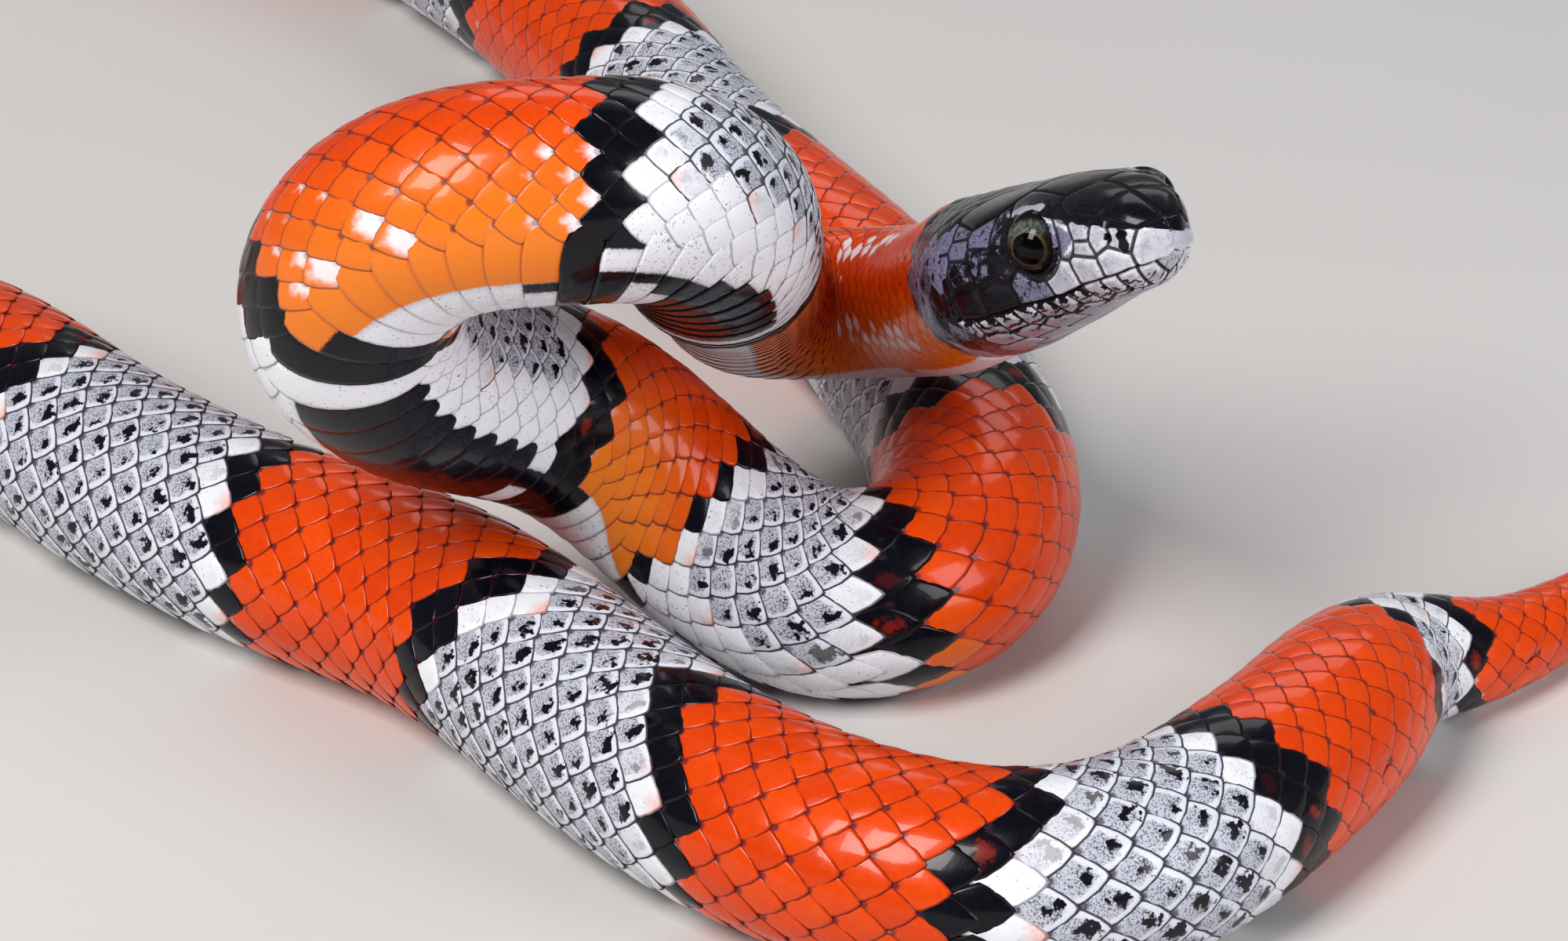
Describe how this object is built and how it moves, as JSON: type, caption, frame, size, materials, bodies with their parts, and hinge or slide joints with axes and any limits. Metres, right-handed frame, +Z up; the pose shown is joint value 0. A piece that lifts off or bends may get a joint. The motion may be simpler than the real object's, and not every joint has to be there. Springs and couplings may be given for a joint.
{
  "type": "milk snake",
  "caption": "Life-size model of a milk snake: head and fore body raised in a loop, the rest lying in a loose coil on the floor.",
  "frame": {"origin": "on the floor, under the middle of the model's bounding box", "axes": "+X towards the tail's side, the snake's head facing it, +Y away from the loop towards the far coil, +Z up"},
  "size_m": [0.2705, 0.2204, 0.0609],
  "materials": {
    "head": "smooth plates, black and lavender grey, soft gloss",
    "eye": "wet gloss, round black pupil in a dark iris",
    "orange_scales": "smooth scales, orange saddles with black edges, soft gloss",
    "grey_scales": "smooth scales, grey with white rims and dark stippling, soft gloss"
  },
  "bodies": {
    "root": {"head": "head", "eye_left": "eye", "eye_right": "eye", "neck": "orange_scales", "trunk_01": "orange_scales", "trunk_02": "grey_scales", "trunk_03": "orange_scales", "trunk_04": "grey_scales", "trunk_05": "orange_scales", "trunk_06": "grey_scales", "trunk_07": "orange_scales", "trunk_08": "grey_scales", "trunk_09": "orange_scales", "trunk_10": "grey_scales", "trunk_11": "orange_scales", "trunk_12": "grey_scales", "trunk_13": "orange_scales", "trunk_14": "grey_scales", "trunk_15": "orange_scales", "trunk_16": "grey_scales", "tail_01": "orange_scales", "tail_02": "grey_scales"}
  },
  "joints": []
}
